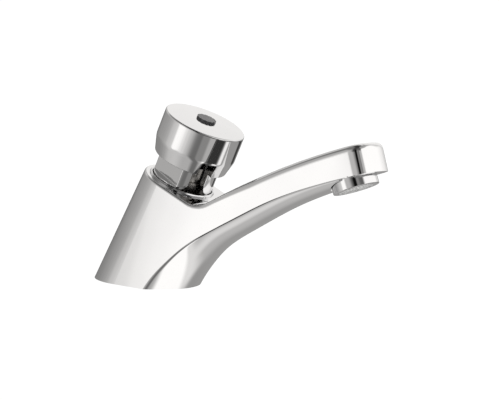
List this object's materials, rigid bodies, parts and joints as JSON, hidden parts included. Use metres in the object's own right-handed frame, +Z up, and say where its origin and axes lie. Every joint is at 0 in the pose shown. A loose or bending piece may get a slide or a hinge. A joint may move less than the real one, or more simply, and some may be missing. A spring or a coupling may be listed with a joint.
{
  "type": "push timed tap",
  "caption": "Chrome push timed tap: leaning column with a big push button, a long rising spout with an outlet fitting under its head, and a threaded shank below.",
  "frame": {"origin": "on the inlet shank's axis, at the face of the deck that the foot stands on", "axes": "+X towards the spout, +Z up out of the deck, +Y to the left of someone looking along +X"},
  "size_m": [0.1728, 0.05, 0.1516],
  "materials": {
    "chrome_body": "polished chrome plate over cast brass",
    "chrome_button": "polished chrome plate",
    "chrome_trim": "polished chrome plate",
    "chrome_outlet": "polished chrome plate",
    "bonnet_brass": "dark turned brass",
    "nut_brass": "turned brass",
    "shank_brass": "turned brass with a rolled thread",
    "seat_steel": "turned stainless steel",
    "spindle_steel": "ground stainless steel",
    "spring_steel": "drawn stainless wire",
    "filter_steel": "perforated stainless sheet",
    "zinc_steel": "bright zinc",
    "seal_rubber": "black moulded rubber",
    "dark_plug": "dark moulded plastic",
    "pale_plastic": "pale moulded plastic",
    "grey_plastic": "grey moulded plastic"
  },
  "bodies": {
    "tap": {"body": "chrome_body", "trim_ring": "chrome_trim", "bonnet": "bonnet_brass", "bonnet_seal": "seal_rubber", "spindle_seal": "seal_rubber", "timing_cylinder": "pale_plastic", "valve_seat": "seat_steel", "seat_ring": "seal_rubber", "inlet_filter": "filter_steel", "return_spring": "spring_steel", "outlet_shell": "chrome_outlet", "outlet_grid": "grey_plastic", "jet_plate": "pale_plastic", "outlet_screen": "grey_plastic", "outlet_washer": "seal_rubber", "inlet_shank": "shank_brass", "shank_seal": "seal_rubber", "base_gasket": "seal_rubber", "rubber_washer": "seal_rubber", "steel_washer": "zinc_steel", "backnut": "nut_brass", "locating_pin": "zinc_steel"},
    "button": {"push_cap": "chrome_button", "index_plug": "dark_plug", "cap_nut": "nut_brass", "spindle": "spindle_steel", "timing_needle": "spindle_steel", "spring_cup": "seat_steel", "piston": "pale_plastic", "piston_seal": "seal_rubber", "piston_clip": "spring_steel", "valve_washer": "seal_rubber", "valve_nut": "nut_brass"}
  },
  "joints": [
    {"name": "button_push", "type": "slide", "parent": "tap", "child": "button", "axis": [-0.3853, 0, -0.9228], "range_m": [0, 0.006], "stiffness_N_per_m": 1500, "springref_m": -0.008, "deforming": ["return_spring"]}
  ]
}
